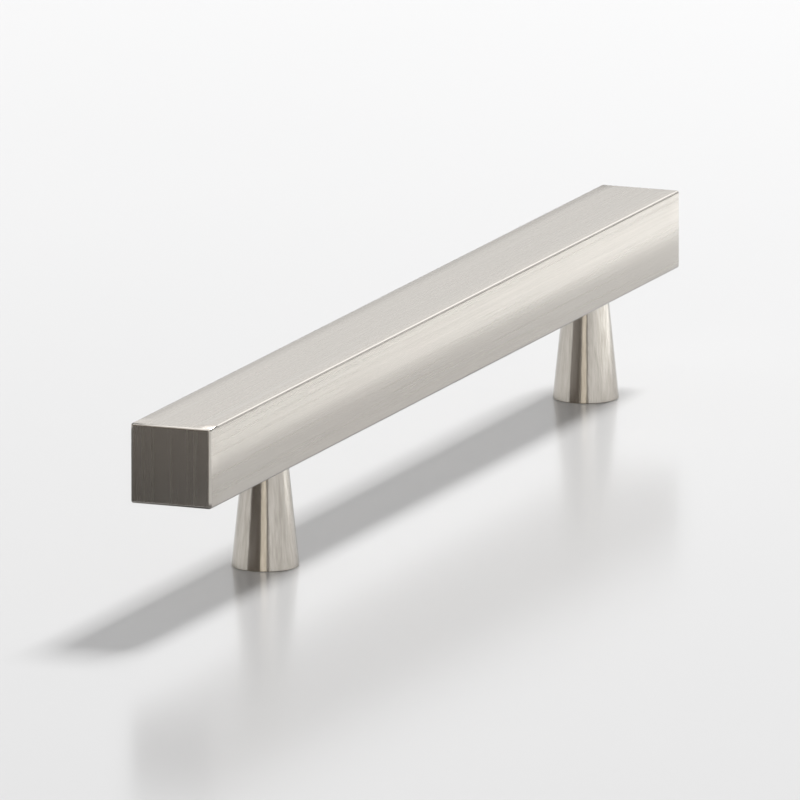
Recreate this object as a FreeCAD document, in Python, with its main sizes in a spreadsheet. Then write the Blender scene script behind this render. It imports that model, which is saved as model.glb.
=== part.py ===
"""Cabinet pull: a solid square-edged bar carried on two turned, tapered posts.

The door's face is the plane z = 0, and +Z points away from the door. The bar lies along X. The origin
is on the door's face, midway between the two fixing screws. Lengths are in millimetres, angles in degrees.
"""
import FreeCAD, Part
import os
import Sketcher

PARTS_FOLDER = "parts"
NEARLY = 1e-6

# Driving dimensions: name, value, what it measures
DIMENSIONS = (
    ("screw_centres", 128.0, "between the axes of the two posts"),
    ("left_overhang", 36.5, "bar beyond the left post's axis"),
    ("right_overhang", 22.5, "bar beyond the right post's axis"),
    ("bar_width", 12.5, "bar from side to side"),
    ("bar_height", 11.8, "bar from its underside to its top"),
    ("bar_edge_radius", 0.4, "rounding of every edge of the bar"),
    ("post_height", 15.9, "door to the underside of the bar"),
    ("post_base_diameter", 9.9, "post where it stands on the door"),
    ("post_top_diameter", 6.6, "post where it carries the bar"),
    ("post_base_chamfer", 0.1, "chamfer of the post's lower edge"),
    ("post_top_chamfer", 0.15, "chamfer of the post's upper edge"),
    ("drill_point_angle", 118.0, "included angle of a blind hole's end"),
    ("mouth_angle", 90.0, "included angle of a hole's opened-out mouth"),
    ("screw_bore", 3.3, "hole for a fixing screw, at the inside of its M4 thread"),
    ("screw_depth", 8.5, "full-width depth of that hole"),
    ("screw_mouth_widening", 0.45, "how far that hole opens out at its mouth, on each side"),
    ("stud_diameter", 4.0, "headless stud over its M4 thread"),
    ("stud_length", 8.0, "headless stud from end to end"),
    ("stud_in_bar", 4.0, "length of a stud that is in the bar"),
    ("stud_clearance", 0.03, "gap all round a stud in its holes"),
    ("stud_end_room", 0.4, "hole beyond each end of a stud"),
    ("stud_mouth_widening", 0.25, "how far a stud's hole opens out at its mouth, on each side"),
    ("stud_chamfer", 0.4, "chamfer of both ends of a stud"),
    ("socket_flats", 2.0, "hexagon socket across its flats"),
    ("socket_depth", 2.0, "hexagon socket up from the stud's lower end"),
)

# Places and sizes that follow from the driving dimensions
LEFT_AXIS = "-Sizes.screw_centres / 2"
RIGHT_AXIS = "Sizes.screw_centres / 2"
STUD_IN_POST = "(Sizes.stud_length - Sizes.stud_in_bar)"
STUD_BORE = "Sizes.stud_diameter + 2 * Sizes.stud_clearance"
STUD_MOUTH = STUD_BORE + " + 2 * Sizes.stud_mouth_widening"
SCREW_BORE = "Sizes.screw_bore"
SCREW_MOUTH = SCREW_BORE + " + 2 * Sizes.screw_mouth_widening"


def make_sizes(doc):
    """The driving dimensions, one named value to a row."""
    sizes = doc.addObject("Spreadsheet::Sheet", "Sizes")
    for row, (name, value, meaning) in enumerate(DIMENSIONS, 1):
        sizes.set("A%d" % row, name)
        sizes.set("B%d" % row, str(value))
        sizes.set("C%d" % row, meaning)
        sizes.setAlias("B%d" % row, name)
    doc.recompute()
    return sizes


def add_piece(doc, label, x="0", z="0"):
    """Empty piece whose own origin stands at x and z, given as formulas of the sizes."""
    piece = doc.addObject("PartDesign::Body", label)
    piece.Label = label
    piece.setExpression("Placement.Base.x", x)
    piece.setExpression("Placement.Base.z", z)
    return piece


def add_sketch(piece, name, role):
    """Empty sketch on one of the piece's own three middle planes."""
    sketch = piece.newObject("Sketcher::SketchObject", name)
    plane = next(plane for plane in piece.Origin.OriginFeatures if plane.Role == role)
    sketch.AttachmentSupport = (plane, [""])
    sketch.MapMode = "FlatFace"
    return sketch


def hold(sketch, name, formula, kind, *places):
    """Named dimension between places of a sketch, driven by a formula of the sizes."""
    number = sketch.addConstraint(Sketcher.Constraint(kind, *places, 1.0))
    sketch.renameConstraint(number, name)
    sketch.setExpression("Constraints." + name, formula)


def draw_outline(sketch, corners):
    """Closed outline of straight edges through the corners, held level or upright where it is so."""
    edges = range(len(corners))
    points = [FreeCAD.Vector(across, up, 0) for across, up in corners]
    for edge in edges:
        start = points[edge]
        end = points[(edge + 1) % len(points)]
        sketch.addGeometry(Part.LineSegment(start, end))
        if start.y == end.y:
            sketch.addConstraint(Sketcher.Constraint("Horizontal", edge))
        if start.x == end.x:
            sketch.addConstraint(Sketcher.Constraint("Vertical", edge))
    for edge in edges:
        sketch.addConstraint(Sketcher.Constraint("Coincident", edge, 2, (edge + 1) % len(points), 1))


def draw_circle(sketch, diameter, formula, x=0.0, x_formula=None):
    """Circle on the sketch's level axis, at its origin unless it is given a place along the axis."""
    circle = sketch.addGeometry(
        Part.Circle(FreeCAD.Vector(x, 0, 0), FreeCAD.Vector(0, 0, 1), diameter / 2)
    )
    hold(sketch, "diameter%d" % circle, formula, "Diameter", circle)
    if x_formula is None:
        sketch.addConstraint(Sketcher.Constraint("Coincident", circle, 3, -1, 1))
    else:
        sketch.addConstraint(Sketcher.Constraint("PointOnObject", circle, 3, -1))
        hold(sketch, "place%d" % circle, x_formula, "DistanceX", -1, 1, circle, 3)


def ring_edge(feature, height):
    """Name of the widest round edge of a turned shape at this height."""
    rings = {
        edge.Curve.Radius: "Edge%d" % number
        for number, edge in enumerate(feature.Shape.Edges, 1)
        if isinstance(edge.Curve, Part.Circle) and abs(edge.Curve.Center.z - height) < NEARLY
    }
    return rings[max(rings)]


def add_blind_hole(piece, name, sketch, bore, mouth, depth, upward):
    """Blind hole with a drilled end and an opened-out mouth at each circle of the sketch, sized by formulas."""
    hole = piece.newObject("PartDesign::Hole", name)
    hole.Profile = sketch
    piece.Document.recompute()
    hole.ThreadType = "None"
    hole.DepthType = "Dimension"
    hole.DrillPoint = "Angled"
    hole.HoleCutType = "Countersink"
    hole.Reversed = upward
    hole.setExpression("Diameter", bore)
    hole.setExpression("Depth", depth)
    hole.setExpression("DrillPointAngle", "Sizes.drill_point_angle")
    hole.setExpression("HoleCutDiameter", mouth)
    hole.setExpression("HoleCutCountersinkAngle", "Sizes.mouth_angle")
    return hole


def make_grip_bar(doc, sizes):
    """Solid bar of oblong section with softened edges and two tapped holes in its underside."""
    bar = add_piece(doc, "grip_bar", z="Sizes.post_height")

    section = add_sketch(bar, "BarSection", "YZ_Plane")
    half = sizes.bar_width / 2
    draw_outline(section, [(-half, 0), (half, 0), (half, sizes.bar_height), (-half, sizes.bar_height)])
    section.addConstraint(Sketcher.Constraint("PointOnObject", 0, 2, -1))
    hold(section, "half_width", "Sizes.bar_width / 2", "DistanceX", -1, 1, 0, 2)
    hold(section, "width", "Sizes.bar_width", "DistanceX", 0, 1, 0, 2)
    hold(section, "height", "Sizes.bar_height", "DistanceY", 1, 1, 1, 2)

    length = bar.newObject("PartDesign::Pad", "BarLength")
    length.Profile = section
    length.SideType = "Two sides"
    length.setExpression("Length", "Sizes.screw_centres / 2 + Sizes.right_overhang")
    length.setExpression("Length2", "Sizes.screw_centres / 2 + Sizes.left_overhang")
    doc.recompute()

    edges = bar.newObject("PartDesign::Fillet", "BarEdges")
    edges.Base = (length, [""])
    edges.UseAllEdges = True
    edges.setExpression("Radius", "Sizes.bar_edge_radius")

    places = add_sketch(bar, "StudPlaces", "XY_Plane")
    for formula, x in ((LEFT_AXIS, -sizes.screw_centres / 2), (RIGHT_AXIS, sizes.screw_centres / 2)):
        draw_circle(places, sizes.stud_diameter, STUD_BORE, x, formula)
    depth = "Sizes.stud_in_bar + Sizes.stud_end_room"
    add_blind_hole(bar, "StudHoles", places, STUD_BORE, STUD_MOUTH, depth, upward=True)
    return bar


def make_post(doc, sizes, side, axis_formula):
    """Post turned to a straight taper, tapped from below for the door's screw and from above for a stud."""
    post = add_piece(doc, side + "_post", x=axis_formula)

    outline = add_sketch(post, "HalfSection", "XZ_Plane")
    base = sizes.post_base_diameter / 2
    top = sizes.post_top_diameter / 2
    draw_outline(outline, [(0, 0), (base, 0), (top, sizes.post_height), (0, sizes.post_height)])
    outline.addConstraint(Sketcher.Constraint("Coincident", 0, 1, -1, 1))
    hold(outline, "base", "Sizes.post_base_diameter / 2", "DistanceX", 0, 1, 0, 2)
    hold(outline, "top", "Sizes.post_top_diameter / 2", "DistanceX", 2, 2, 2, 1)
    hold(outline, "height", "Sizes.post_height", "DistanceY", 3, 2, 3, 1)

    taper = post.newObject("PartDesign::Revolution", "Taper")
    taper.Profile = outline
    taper.ReferenceAxis = (outline, ["V_Axis"])
    taper.Angle = 360
    doc.recompute()

    foot = post.newObject("PartDesign::Chamfer", "LowerEdge")
    foot.Base = (taper, [ring_edge(taper, 0)])
    foot.setExpression("Size", "Sizes.post_base_chamfer")
    doc.recompute()

    shoulder = post.newObject("PartDesign::Chamfer", "UpperEdge")
    shoulder.Base = (foot, [ring_edge(foot, sizes.post_height)])
    shoulder.setExpression("Size", "Sizes.post_top_chamfer")
    doc.recompute()

    screw_place = add_sketch(post, "ScrewPlace", "XY_Plane")
    draw_circle(screw_place, sizes.screw_bore, SCREW_BORE)
    add_blind_hole(post, "ScrewHole", screw_place, SCREW_BORE, SCREW_MOUTH, "Sizes.screw_depth", upward=True)

    stud_place = add_sketch(post, "StudPlace", "XY_Plane")
    stud_place.setExpression("AttachmentOffset.Base.z", "Sizes.post_height")
    draw_circle(stud_place, sizes.stud_diameter, STUD_BORE)
    depth = STUD_IN_POST + " + Sizes.stud_end_room"
    add_blind_hole(post, "StudHole", stud_place, STUD_BORE, STUD_MOUTH, depth, upward=False)
    return post


def make_stud(doc, sizes, side, axis_formula):
    """Headless stud that screws into the bar and takes the post on its lower half."""
    stud = add_piece(doc, side + "_stud", x=axis_formula, z="Sizes.post_height - " + STUD_IN_POST)

    section = add_sketch(stud, "StudSection", "XY_Plane")
    draw_circle(section, sizes.stud_diameter, "Sizes.stud_diameter")
    length = stud.newObject("PartDesign::Pad", "StudLength")
    length.Profile = section
    length.setExpression("Length", "Sizes.stud_length")
    doc.recompute()

    ends = stud.newObject("PartDesign::Chamfer", "Ends")
    ends.Base = (length, [ring_edge(length, 0), ring_edge(length, sizes.stud_length)])
    ends.setExpression("Size", "Sizes.stud_chamfer")
    doc.recompute()

    hexagon = add_sketch(stud, "Hexagon", "XY_Plane")
    corner = sizes.socket_flats / 3 ** 0.5
    turns = [FreeCAD.Rotation(FreeCAD.Vector(0, 0, 1), 60 * side_number) for side_number in range(6)]
    points = [turn.multVec(FreeCAD.Vector(corner, 0, 0)) for turn in turns]
    draw_outline(hexagon, [(point.x, point.y) for point in points])
    circle = hexagon.addGeometry(
        Part.Circle(FreeCAD.Vector(0, 0, 0), FreeCAD.Vector(0, 0, 1), corner), True
    )
    hexagon.addConstraint(Sketcher.Constraint("Coincident", circle, 3, -1, 1))
    hold(hexagon, "corners", "2 * Sizes.socket_flats / sqrt(3)", "Diameter", circle)
    for edge in range(6):
        hexagon.addConstraint(Sketcher.Constraint("PointOnObject", edge, 1, circle))
    for edge in range(1, 6):
        hexagon.addConstraint(Sketcher.Constraint("Equal", 0, edge))
    hexagon.addConstraint(Sketcher.Constraint("PointOnObject", 0, 1, -1))

    socket = stud.newObject("PartDesign::Pocket", "Socket")
    socket.Profile = hexagon
    socket.Reversed = True
    socket.setExpression("Length", "Sizes.socket_depth")
    return stud


def check(doc, pieces):
    """Every step worked, every cut took metal away, and every piece is one sound solid."""
    for step in doc.Objects:
        if "Invalid" in step.State or "Error" in step.State:
            raise RuntimeError(step.Name + " failed")
        if step.TypeId in ("PartDesign::Hole", "PartDesign::Pocket"):
            if step.Shape.Volume > step.BaseFeature.Shape.Volume - NEARLY:
                raise RuntimeError(step.Name + " cuts nothing")
    for piece in pieces:
        if piece.Shape.isNull() or not piece.Shape.isValid() or len(piece.Shape.Solids) != 1:
            raise RuntimeError(piece.Label + " is not one sound solid")


def main():
    doc = FreeCAD.newDocument("cabinet_pull")
    sizes = make_sizes(doc)
    pieces = [make_grip_bar(doc, sizes)]
    for side, axis_formula in (("left", LEFT_AXIS), ("right", RIGHT_AXIS)):
        pieces.append(make_post(doc, sizes, side, axis_formula))
        pieces.append(make_stud(doc, sizes, side, axis_formula))
    doc.recompute()
    check(doc, pieces)
    os.makedirs(PARTS_FOLDER, exist_ok=True)
    for piece in pieces:
        piece.Shape.exportStep(os.path.join(PARTS_FOLDER, piece.Label + ".step"))


main()
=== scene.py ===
"""Looks of the cabinet pull: brushed satin nickel on a pale, slightly glossy floor in soft studio light.

Metres, in the part's own frame. X runs along the bar, with its near end at -X. The side seen in the
photograph is -Y. Z points away from the door, which is up from the floor here.
"""

import math

import bpy
from mathutils import Matrix, Vector


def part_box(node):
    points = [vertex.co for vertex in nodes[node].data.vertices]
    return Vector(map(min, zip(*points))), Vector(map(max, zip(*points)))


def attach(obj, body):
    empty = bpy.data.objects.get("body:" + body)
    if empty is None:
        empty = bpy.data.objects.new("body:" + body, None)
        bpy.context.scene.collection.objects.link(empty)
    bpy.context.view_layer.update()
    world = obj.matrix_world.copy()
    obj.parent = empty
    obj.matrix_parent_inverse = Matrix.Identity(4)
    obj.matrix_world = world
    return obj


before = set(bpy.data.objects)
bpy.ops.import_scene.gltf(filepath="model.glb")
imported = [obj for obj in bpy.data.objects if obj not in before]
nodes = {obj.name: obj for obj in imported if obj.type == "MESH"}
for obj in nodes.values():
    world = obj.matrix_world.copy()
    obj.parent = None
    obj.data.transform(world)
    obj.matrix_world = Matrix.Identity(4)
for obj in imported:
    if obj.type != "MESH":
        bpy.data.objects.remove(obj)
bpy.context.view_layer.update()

# Camera
BAR_CENTRE = Vector((-0.0070, 0.0, 0.0218))
VIEW_AZIMUTH = math.radians(-68.35)
VIEW_ELEVATION = math.radians(11.82)
VIEW_DISTANCE = 4.315
VIEW_RIGHT_SHIFT = -0.00150
VIEW_UP_SHIFT = -0.00825
LENS_MM = 1323.7
SENSOR_MM = 36.0

to_camera = Vector(
    (
        math.sin(VIEW_AZIMUTH) * math.cos(VIEW_ELEVATION),
        -math.cos(VIEW_AZIMUTH) * math.cos(VIEW_ELEVATION),
        math.sin(VIEW_ELEVATION),
    )
)
camera_right = Vector((math.cos(VIEW_AZIMUTH), math.sin(VIEW_AZIMUTH), 0.0))
camera_up = to_camera.cross(camera_right)


def add_camera():
    """Makes the camera at the photograph's viewing angle."""
    data = bpy.data.cameras.new("photo_camera")
    data.lens = LENS_MM
    data.sensor_width = SENSOR_MM
    data.clip_start = 0.1
    data.clip_end = 100.0
    data.dof.use_dof = False
    camera = bpy.data.objects.new("photo_camera", data)
    bpy.context.scene.collection.objects.link(camera)
    place = BAR_CENTRE + to_camera * VIEW_DISTANCE + camera_right * VIEW_RIGHT_SHIFT
    place += camera_up * VIEW_UP_SHIFT
    turn = Matrix((camera_right, camera_up, to_camera)).transposed()
    camera.matrix_world = Matrix.Translation(place) @ turn.to_4x4()
    bpy.context.scene.camera = camera


# Node helpers
def new_material(name):
    """Makes an empty node material with a shader joined to its output."""
    material = bpy.data.materials.new(name)
    material.use_nodes = True
    tree = material.node_tree
    tree.nodes.clear()
    output = tree.nodes.new("ShaderNodeOutputMaterial")
    shader = tree.nodes.new("ShaderNodeBsdfPrincipled")
    tree.links.new(shader.outputs["BSDF"], output.inputs["Surface"])
    return material, tree, shader


def join(tree, source, target):
    """Feeds a socket from another socket, or sets it to a constant."""
    if isinstance(source, bpy.types.NodeSocket):
        tree.links.new(source, target)
    else:
        target.default_value = source


def maths(tree, operation, *values):
    """Adds a maths node and gives its result."""
    node = tree.nodes.new("ShaderNodeMath")
    node.operation = operation
    for value, socket in zip(values, node.inputs):
        join(tree, value, socket)
    return node.outputs[0]


def vector_maths(tree, operation, *values):
    """Adds a vector maths node and gives its vector."""
    node = tree.nodes.new("ShaderNodeVectorMath")
    node.operation = operation
    for value, socket in zip(values, node.inputs):
        join(tree, value, socket)
    return node.outputs["Vector"]


def split(tree, vector):
    """Gives a vector's three parts."""
    node = tree.nodes.new("ShaderNodeSeparateXYZ")
    tree.links.new(vector, node.inputs[0])
    return node.outputs


def combine(tree, x, y, z):
    """Makes a vector of three parts."""
    node = tree.nodes.new("ShaderNodeCombineXYZ")
    for value, socket in zip((x, y, z), node.inputs):
        join(tree, value, socket)
    return node.outputs[0]


def remap(tree, value, from_low, from_high, to_low, to_high, smooth=False):
    """Maps a value from one range to another, held at its ends."""
    node = tree.nodes.new("ShaderNodeMapRange")
    node.interpolation_type = "SMOOTHSTEP" if smooth else "LINEAR"
    for number, socket in zip((value, from_low, from_high, to_low, to_high), node.inputs):
        join(tree, number, socket)
    return node.outputs["Result"]


def noise(tree, vector, scale, detail=2.0, roughness=0.5):
    """Gives a noise value from 0 to 1, 0.5 on average."""
    node = tree.nodes.new("ShaderNodeTexNoise")
    node.inputs["Scale"].default_value = scale
    node.inputs["Detail"].default_value = detail
    node.inputs["Roughness"].default_value = roughness
    tree.links.new(vector, node.inputs["Vector"])
    return node.outputs["Fac"]


def blend(tree, kind, share, first, second):
    """Mixes two values of one kind by a share from 0 to 1."""
    node = tree.nodes.new("ShaderNodeMix")
    node.data_type = kind
    join(tree, share, node.inputs["Factor"])
    join(tree, first, node.inputs["A"])
    join(tree, second, node.inputs["B"])
    return node.outputs["Result"]


def blend_colours(tree, share, first, second):
    """Mixes two colours by a share from 0 to 1."""
    return blend(tree, "RGBA", share, first, second)


def blend_vectors(tree, share, first, second):
    """Mixes two vectors by a share from 0 to 1."""
    return blend(tree, "VECTOR", share, first, second)


def bump(tree, height, distance, normal=None):
    """Adds a bump of a height given in metres for a value of 1."""
    node = tree.nodes.new("ShaderNodeBump")
    node.inputs["Strength"].default_value = 1.0
    node.inputs["Distance"].default_value = distance
    tree.links.new(height, node.inputs["Height"])
    if normal is not None:
        tree.links.new(normal, node.inputs["Normal"])
    return node.outputs["Normal"]


def object_place(tree):
    """Gives the place on an object in metres."""
    return tree.nodes.new("ShaderNodeTexCoord").outputs["Object"]


def object_millimetres(tree):
    """Gives the place on an object in millimetres."""
    return vector_maths(tree, "MULTIPLY", object_place(tree), (MILLIMETRES, MILLIMETRES, MILLIMETRES))


# Millimetres in a metre
MILLIMETRES = 1000.0

# Colours and roughness of the metals
BAR_COOL = (0.515, 0.488, 0.444, 1.0)
BAR_WARM = (0.525, 0.484, 0.444, 1.0)
BAR_STREAK = (0.46, 0.43, 0.387, 1.0)
# Painted highlight colour for the bar's rounded edges
PAINTED_EDGE_HIGHLIGHT = (0.60, 0.57, 0.525, 1.0)
# Painted shade colour for the bar's edges next to the door and on the far side
PAINTED_EDGE_SHADE = (0.19, 0.18, 0.165, 1.0)
POST_PALE = (0.585, 0.55, 0.50, 1.0)
POST_STREAK = (0.48, 0.447, 0.396, 1.0)
STEEL_PALE = (0.46, 0.46, 0.48, 1.0)
STEEL_DARK = (0.36, 0.36, 0.36, 1.0)
BAR_ROUGHNESS = (0.24, 0.29)
EDGE_ROUGHNESS = 0.13
POST_ROUGHNESS = (0.15, 0.22)
STEEL_ROUGHNESS = (0.32, 0.48)
BRUSHED_ANISOTROPY = 0.9

# How far the brushing lines are drawn out, and how deep the lines are in metres
BAR_STRETCH = 0.004
END_STRETCH = 0.003
POST_STRETCH = 0.012
BAR_LINE_DEPTH = 0.000003
POST_LINE_DEPTH = 0.000007
STUD_LINE_DEPTH = 0.000006


# Brushed satin nickel
def bar_metal():
    """Nickel brushed along the bar, and up and down on its two ends."""
    material, tree, shader = new_material("satin_nickel_bar_brushed")
    geometry = tree.nodes.new("ShaderNodeNewGeometry")
    facing = geometry.outputs["True Normal"]
    millimetres = object_millimetres(tree)
    x, y, z = split(tree, millimetres)
    facing_end = maths(tree, "ABSOLUTE", split(tree, facing)[0])
    on_end = remap(tree, facing_end, 0.70, 0.72, 0.0, 1.0)

    along_bar = combine(tree, maths(tree, "MULTIPLY", x, BAR_STRETCH), y, z)
    up_the_end = combine(tree, x, y, maths(tree, "MULTIPLY", z, END_STRETCH))
    lines = blend_vectors(tree, on_end, along_bar, up_the_end)
    fine = noise(tree, lines, 7.0, detail=3.0, roughness=0.6)
    broad = noise(tree, lines, 1.3)
    clouds = noise(tree, millimetres, 0.05)

    brush = blend_vectors(tree, on_end, (1.0, 0.0, 0.0), (0.0, 0.0, 1.0))
    across = vector_maths(tree, "CROSS_PRODUCT", facing, brush)
    tree.links.new(across, shader.inputs["Tangent"])

    streaks = maths(tree, "ADD", maths(tree, "MULTIPLY", fine, 0.5), maths(tree, "MULTIPLY", broad, 0.5))
    tint = blend_colours(tree, clouds, BAR_COOL, BAR_WARM)
    colour = blend_colours(tree, remap(tree, streaks, 0.3, 0.7, 0.0, 1.0), tint, BAR_STREAK)
    # The rounded edges' lower roughness is polish; their lighter colour is a painted highlight.
    polish_and_painted_light = edge_polish_and_painted_light(tree, x, y, z)
    # Painted shade darkens the edges next to the door and on the far side.
    painted_edge_light = blend_colours(tree, painted_shade_edges(tree, y, z), PAINTED_EDGE_HIGHLIGHT, PAINTED_EDGE_SHADE)
    tree.links.new(blend_colours(tree, polish_and_painted_light, colour, painted_edge_light), shader.inputs["Base Color"])
    shader.inputs["Metallic"].default_value = 1.0
    satin = remap(tree, streaks, 0.3, 0.7, *BAR_ROUGHNESS)
    tree.links.new(remap(tree, polish_and_painted_light, 0.0, 1.0, satin, EDGE_ROUGHNESS), shader.inputs["Roughness"])
    shader.inputs["Anisotropic"].default_value = BRUSHED_ANISOTROPY

    crowned = bump(tree, bar_crown(tree, x, y, z), 1.0 / MILLIMETRES)
    smooth = blend_vectors(tree, on_end, crowned, geometry.outputs["Normal"])
    tree.links.new(bump(tree, fine, BAR_LINE_DEPTH, smooth), shader.inputs["Normal"])
    return material


def box_offset(tree, part, value):
    """Gives how far a place is from the middle of the bar along one axis, and half the bar's size there."""
    low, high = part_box("grip_bar")
    middle = (low[part] + high[part]) / 2.0 * MILLIMETRES
    half = (high[part] - low[part]) / 2.0 * MILLIMETRES
    return maths(tree, "ABSOLUTE", maths(tree, "SUBTRACT", value, middle)), half


def edge_polish_and_painted_light(tree, x, y, z):
    """Gives 1 on the bar's rounded edges and 0 on its faces, for the edges' lower roughness and their
    painted highlight.
    """
    depths = []
    for part, value in enumerate((x, y, z)):
        offset, half = box_offset(tree, part, value)
        depths.append(maths(tree, "SUBTRACT", half, offset))
    nearer = maths(tree, "MINIMUM", depths[0], depths[1])
    farther = maths(tree, "MAXIMUM", depths[0], depths[1])
    second = maths(tree, "MAXIMUM", nearer, maths(tree, "MINIMUM", farther, depths[2]))
    return remap(tree, second, 0.25, 0.42, 1.0, 0.0, smooth=True)


def painted_shade_edges(tree, y, z):
    """Gives 1 on the edges next to the door and on the far side, where painted shade darkens the bar, and 0
    elsewhere.
    """
    low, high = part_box("grip_bar")
    bottom = low[2] * MILLIMETRES
    far_side = high[1] * MILLIMETRES
    top = high[2] * MILLIMETRES
    beneath = remap(tree, z, bottom + 0.5, bottom + 1.0, 1.0, 0.0)
    beyond = remap(tree, y, far_side - 1.0, far_side - 0.5, 0.0, 1.0)
    below_top = remap(tree, z, top - 1.0, top - 0.5, 1.0, 0.0)
    return maths(tree, "MAXIMUM", beneath, maths(tree, "MULTIPLY", beyond, below_top))


# How far from its edges polishing has crowned the bar, where the crown is full, and its full slope
CROWN_STARTS = (4.5, 2.8, 6.4)
CROWN_FULL = (1.2, 0.6, 3.0)
CROWN_SLOPES = (0.10, 0.12, 0.14)


def bar_crown(tree, x, y, z):
    """Gives the height in millimetres that polishing takes off the bar's faces near their edges."""
    total = None
    for part, value in enumerate((x, y, z)):
        offset, half = box_offset(tree, part, value)
        width = CROWN_STARTS[part] - CROWN_FULL[part]
        depth = maths(tree, "DIVIDE", maths(tree, "SUBTRACT", offset, half - CROWN_STARTS[part]), width)
        bend = maths(tree, "MAXIMUM", maths(tree, "MINIMUM", depth, 1.0), 0.0)
        squared = maths(tree, "MULTIPLY", bend, bend)
        eased = maths(tree, "SUBTRACT", bend, maths(tree, "MULTIPLY", squared, 0.5))
        curve = maths(tree, "MULTIPLY", squared, eased)
        straight = maths(tree, "MAXIMUM", maths(tree, "SUBTRACT", depth, 1.0), 0.0)
        drop = maths(tree, "MULTIPLY", maths(tree, "ADD", curve, straight), -CROWN_SLOPES[part] * width)
        if part == 0:
            near_long_edge = remap(tree, maths(tree, "ABSOLUTE", y), 0.5, 6.0, 0.0, 1.0, smooth=True)
            near_end = remap(tree, x, -20.0, -10.0, 1.0, 0.25)
            drop = maths(tree, "MULTIPLY", drop, maths(tree, "MULTIPLY", near_long_edge, near_end))
        total = drop if total is None else maths(tree, "ADD", total, drop)
    return total


def post_metal():
    """Nickel with fine upright lines."""
    material, tree, shader = new_material("satin_nickel_posts_turned")
    facing = tree.nodes.new("ShaderNodeNewGeometry").outputs["True Normal"]
    upright = vector_maths(tree, "MULTIPLY", object_millimetres(tree), (1.0, 1.0, POST_STRETCH))
    fine = noise(tree, upright, 4.0, detail=3.0, roughness=0.6)
    broad = noise(tree, upright, 1.0)
    around = vector_maths(tree, "CROSS_PRODUCT", facing, (0.0, 0.0, 1.0))
    upward = vector_maths(tree, "CROSS_PRODUCT", around, facing)
    tree.links.new(upward, shader.inputs["Tangent"])
    streaks = maths(tree, "ADD", maths(tree, "MULTIPLY", fine, 0.6), maths(tree, "MULTIPLY", broad, 0.4))
    colour = blend_colours(tree, remap(tree, streaks, 0.38, 0.62, 0.0, 1.0), POST_PALE, POST_STREAK)
    tree.links.new(colour, shader.inputs["Base Color"])
    shader.inputs["Metallic"].default_value = 1.0
    tree.links.new(remap(tree, streaks, 0.3, 0.7, *POST_ROUGHNESS), shader.inputs["Roughness"])
    shader.inputs["Anisotropic"].default_value = BRUSHED_ANISOTROPY
    tree.links.new(bump(tree, fine, POST_LINE_DEPTH), shader.inputs["Normal"])
    return material


def stud_metal():
    """Plain zinc-plated steel with faint blotches and turning marks."""
    material, tree, shader = new_material("stud_steel_plated")
    millimetres = object_millimetres(tree)
    rings = vector_maths(tree, "MULTIPLY", millimetres, (0.3, 0.3, 9.0))
    fine = noise(tree, rings, 1.5)
    blotches = noise(tree, millimetres, 1.2, detail=3.0)
    colour = blend_colours(tree, blotches, STEEL_PALE, STEEL_DARK)
    tree.links.new(colour, shader.inputs["Base Color"])
    shader.inputs["Metallic"].default_value = 1.0
    tree.links.new(remap(tree, blotches, 0.3, 0.7, *STEEL_ROUGHNESS), shader.inputs["Roughness"])
    tree.links.new(bump(tree, fine, STUD_LINE_DEPTH), shader.inputs["Normal"])
    return material


def wear(node, material):
    """Gives a CAD node one material all over."""
    piece = nodes[node]
    for number in range(len(piece.material_slots)):
        piece.material_slots[number].material = material
    if not piece.material_slots:
        piece.data.materials.append(material)


def add_mesh(name, points, faces, material):
    """Adds an object made of the given points and faces."""
    mesh = bpy.data.meshes.new(name)
    mesh.from_pydata(points, [], faces)
    mesh.materials.append(material)
    thing = bpy.data.objects.new(name, mesh)
    bpy.context.scene.collection.objects.link(thing)
    return thing


# Threads in the two screw holes
POST_AXIS = 0.064
THREAD_PITCH = 0.0007
THREAD_WALL = 0.00166
THREAD_CREST = 0.00154
THREAD_HALF_BASE = 0.00028
THREAD_HALF_CREST = 0.00006
THREAD_START = 0.00078
THREAD_TURNS = 10.5
THREAD_STEPS = 40
THREAD_FADE_STEPS = 20.0


def add_screw_thread(name, axis_x, material):
    """Adds the fine right-handed ridge inside a post's screw hole, fading out at both ends."""
    last = int(THREAD_TURNS * THREAD_STEPS)
    points = []
    for step in range(last + 1):
        angle = 2.0 * math.pi * step / THREAD_STEPS
        height = THREAD_START + THREAD_PITCH * step / THREAD_STEPS
        share = min(1.0, step / THREAD_FADE_STEPS, (last - step) / THREAD_FADE_STEPS)
        crest = THREAD_WALL - (THREAD_WALL - THREAD_CREST) * share
        ridge = [(THREAD_WALL, -THREAD_HALF_BASE), (crest, -THREAD_HALF_CREST)]
        ridge += [(crest, THREAD_HALF_CREST), (THREAD_WALL, THREAD_HALF_BASE)]
        for radius, rise in ridge:
            points.append((axis_x + radius * math.cos(angle), radius * math.sin(angle), height + rise))
    faces = []
    for step in range(last):
        for side in range(3):
            first = step * 4 + side
            faces.append((first, first + 1, first + 5, first + 4))
    thread = add_mesh(name, points, faces, material)
    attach(thread, "root")


# Studio
def add_sheet(name, corners, material):
    """Adds a flat four-cornered sheet."""
    sheet = add_mesh(name, corners, [(0, 1, 2, 3)], material)
    return sheet


def add_floor():
    """Adds the pale, slightly glossy floor that the pull stands on."""
    material, tree, shader = new_material("pale_floor")
    clouds = noise(tree, object_place(tree), 6.0)
    tree.links.new(blend_colours(tree, clouds, FLOOR_GREY, FLOOR_PALE), shader.inputs["Base Color"])
    shader.inputs["Roughness"].default_value = 0.20
    shader.inputs["IOR"].default_value = 1.45
    corners = [(-FLOOR_REACH, -FLOOR_REACH, 0), (FLOOR_REACH, -FLOOR_REACH, 0)]
    corners += [(FLOOR_REACH, FLOOR_REACH, 0), (-FLOOR_REACH, FLOOR_REACH, 0)]
    add_sheet("floor", corners, material)


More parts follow.
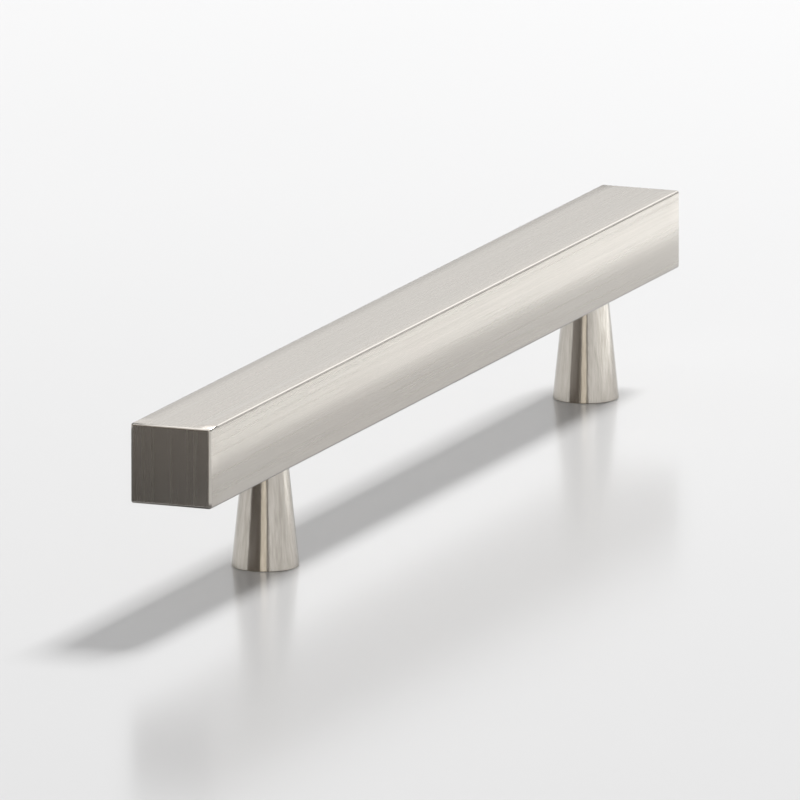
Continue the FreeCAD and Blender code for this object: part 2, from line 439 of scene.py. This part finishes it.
def seen_from_pull(turn_left, elevation, distance):
    """Gives a place round the pull by its turn to the left of the camera and its elevation, in degrees."""
    turn = math.radians(turn_left)
    forward = Vector((to_camera.x, to_camera.y, 0.0)).normalized()
    level = forward * math.cos(turn) - camera_right * math.sin(turn)
    rise = math.radians(elevation)
    return BAR_CENTRE + (level * math.cos(rise) + Vector((0.0, 0.0, math.sin(rise)))) * distance


def add_lamp(name, place, width, height, radiance):
    """Adds a rectangular lamp that faces the pull, of one brightness all over."""
    data = bpy.data.lights.new(name, "AREA")
    data.shape = "RECTANGLE"
    data.size = width
    data.size_y = height
    data.energy = radiance * math.pi * width * height
    lamp = bpy.data.objects.new(name, data)
    bpy.context.scene.collection.objects.link(lamp)
    lamp.location = place
    lamp.rotation_euler = (place - BAR_CENTRE).to_track_quat("Z", "Y").to_euler()
    return lamp


def add_card(name, corners, colour, near_colour=None, glow=0.0):
    """Adds a card that the camera doesn't see and that throws no shadow, though reflections show it."""
    material, tree, shader = new_material(name + "_cloth")
    place = object_place(tree)
    weave = noise(tree, place, 3.0, detail=1.0)
    darker = [part * 0.9 for part in colour]
    cloth = blend_colours(tree, weave, (*colour, 1.0), (*darker, 1.0))
    if near_colour is not None:
        nearness = remap(tree, split(tree, place)[0], *NEAR_SPAN, 0.0, 1.0)
        cloth = blend_colours(tree, nearness, cloth, (*near_colour, 1.0))
    tree.links.new(cloth, shader.inputs["Base Color"])
    shader.inputs["Emission Color"].default_value = (*colour, 1.0)
    shader.inputs["Emission Strength"].default_value = glow
    shader.inputs["Roughness"].default_value = 0.9
    shader.inputs["Specular IOR Level"].default_value = 0.1
    card = add_sheet(name, corners, material)
    card.visible_camera = False
    card.visible_shadow = False
    return card


def floor_place(forward, right):
    """Gives a place just above the floor by how far it is towards the camera and to the right."""
    level = Vector((to_camera.x, to_camera.y, 0.0)).normalized()
    place = Vector((BAR_CENTRE.x, 0.0, 0.0)) + level * forward + camera_right * right
    return (place.x, place.y, CARD_LIFT)


def standing_card(name, left_from, left_to, distance, height, colour, glow=0.0):
    """Adds a card that stands on the floor between two turns to the left of the camera's direction."""
    first = seen_from_pull(left_from, 0.0, distance)
    second = seen_from_pull(left_to, 0.0, distance)
    corners = [(first.x, first.y, 0.0), (second.x, second.y, 0.0)]
    corners += [(second.x, second.y, height), (first.x, first.y, height)]
    return add_card(name, corners, colour, glow=glow)


def add_world():
    """Lights the scene softly from all round, and gives the camera a plain pale background."""
    world = bpy.data.worlds.new("studio")
    bpy.context.scene.world = world
    world.use_nodes = True
    tree = world.node_tree
    tree.nodes.clear()
    output = tree.nodes.new("ShaderNodeOutputWorld")
    background = tree.nodes.new("ShaderNodeBackground")
    tree.links.new(background.outputs[0], output.inputs["Surface"])
    direction = tree.nodes.new("ShaderNodeTexCoord").outputs["Generated"]
    x, y, z = split(tree, direction)
    along = maths(tree, "MULTIPLY", x, BACK_ALONG)
    across = maths(tree, "MULTIPLY", y, BACK_ACROSS)
    back = remap(tree, maths(tree, "ADD", along, across), *BACK_SPAN, 0.0, 1.0, smooth=True)
    walls = maths(tree, "MULTIPLY_ADD", back, WORLD_BACK - WORLD_SIDES, WORLD_SIDES)
    wall_end = maths(tree, "MULTIPLY_ADD", back, WALL_END_RISE, WALL_END)
    dark_start = maths(tree, "MULTIPLY_ADD", back, DARK_START_RISE, DARK_START)
    overhead = remap(tree, z, wall_end, dark_start, 0.0, 1.0, smooth=True)
    light = maths(tree, "MULTIPLY_ADD", overhead, maths(tree, "SUBTRACT", WORLD_TOP, walls), walls)
    from_glow = maths(tree, "ABSOLUTE", maths(tree, "SUBTRACT", z, GLOW_HEIGHT))
    glow = maths(tree, "MULTIPLY", back, remap(tree, from_glow, *GLOW_SPAN, 1.0, 0.0, smooth=True))
    light = maths(tree, "MULTIPLY_ADD", glow, WORLD_GLOW, light)
    seen = tree.nodes.new("ShaderNodeLightPath").outputs["Is Camera Ray"]
    level = maths(tree, "MULTIPLY_ADD", seen, maths(tree, "SUBTRACT", BACKGROUND, light), light)
    background.inputs["Color"].default_value = (1.0, 1.0, 1.0, 1.0)
    tree.links.new(level, background.inputs["Strength"])


# Brightness of the background, of the parts of the world and of the lamps
BACKGROUND = 0.95
WORLD_BACK = 0.30
WORLD_SIDES = 0.97
WORLD_TOP = 0.23
WORLD_GLOW = 0.95
KEY_LEVEL = 65.3
LOW_LEVEL = 1.32
RIM_LEVEL = 1.25
EDGE_LEVEL = 0.9
FRONT_LEVEL = 0.8
OVERHEAD_LEVEL = 1.3

# Where the world's back lies, how high its walls end and its dark top begins, and where it glows
BACK_ALONG = 0.93
BACK_ACROSS = 0.37
BACK_SPAN = (0.3, 0.85)
WALL_END = 0.15
WALL_END_RISE = 0.23
DARK_START = 0.36
DARK_START_RISE = 0.22
GLOW_HEIGHT = 0.215
GLOW_SPAN = (0.02, 0.11)

# Colours of the floor, the low lamp and the cards, how much the pale card shines, and places in metres
FLOOR_GREY = (0.89, 0.89, 0.895, 1.0)
FLOOR_PALE = (0.91, 0.91, 0.915, 1.0)
LOW_COLOUR = (0.96, 0.985, 1.0)
DARK_CLOTH = (0.100, 0.076, 0.054)
FLOOR_CLOTH = (0.172, 0.154, 0.136)
NEAR_CLOTH = (0.012, 0.010, 0.009)
GREY_CLOTH = (0.80, 0.79, 0.77)
PALE_CLOTH = (0.95, 0.88, 0.76)
PALE_GLOW = 0.35
FLOOR_REACH = 6.0
CARD_LIFT = 0.0003
NEAR_SPAN = (-0.235, -0.160)

add_camera()
add_floor()
add_world()

# Lamps
key_direction = Vector((0.70, -0.035, 0.65)).normalized()
add_lamp("key_lamp", BAR_CENTRE + key_direction * 3.0, 0.52, 0.78, KEY_LEVEL)
add_lamp("rim_lamp", BAR_CENTRE + Vector((0.9097, 0.03, 0.4152)) * 2.0, 0.90, 0.4, RIM_LEVEL)
edge_lamp = add_lamp("edge_lamp", BAR_CENTRE + Vector((0.62, 0.37, 0.69)) * 2.0, 0.5, 0.9, EDGE_LEVEL)
front_lamp = add_lamp("front_lamp", seen_from_pull(5.0, 38.0, 1.3), 2.4, 0.8, FRONT_LEVEL)
overhead_lamp = add_lamp("overhead_lamp", BAR_CENTRE + Vector((0.0, 0.0, 1.6)), 1.8, 1.8, OVERHEAD_LEVEL)
low_lamp = add_lamp("low_lamp", Vector((0.365, -0.141, 0.0005)), 0.70, 0.28, LOW_LEVEL)
low_lamp.rotation_euler = (math.pi, 0.0, math.radians(13.0))
low_lamp.data.color = LOW_COLOUR
low_lamp.visible_camera = False

# Cards
lying = [floor_place(0.080, -0.064), floor_place(0.150, -0.064)]
lying += [floor_place(1.50, -0.42), floor_place(1.11, -1.72)]
lying_card = add_card("lying_card", lying, FLOOR_CLOTH, NEAR_CLOTH)
standing_card("left_card", 17.4, 62.6, 1.5, 1.94, DARK_CLOTH)
pale_card = standing_card("pale_card", 17.4, -3.0, 1.6, 0.9, PALE_CLOTH, PALE_GLOW)
narrow_card = standing_card("narrow_card", -3.2, -10.4, 0.84, 0.9, DARK_CLOTH)
behind_card = standing_card("behind_card", -128.0, -147.0, 1.5, 0.38, GREY_CLOTH)

# Only reflections show these
for thing in (edge_lamp, front_lamp, overhead_lamp, lying_card, pale_card, narrow_card, behind_card):
    thing.visible_diffuse = False

# Materials and threads
bar_material = bar_metal()
post_material = post_metal()
stud_material = stud_metal()
wear("grip_bar", bar_material)
wear("left_post", post_material)
wear("right_post", post_material)
wear("left_stud", stud_material)
wear("right_stud", stud_material)
add_screw_thread("left_screw_thread", -POST_AXIS, post_material)
add_screw_thread("right_screw_thread", POST_AXIS, post_material)

bpy.context.scene.view_settings.view_transform = "Standard"
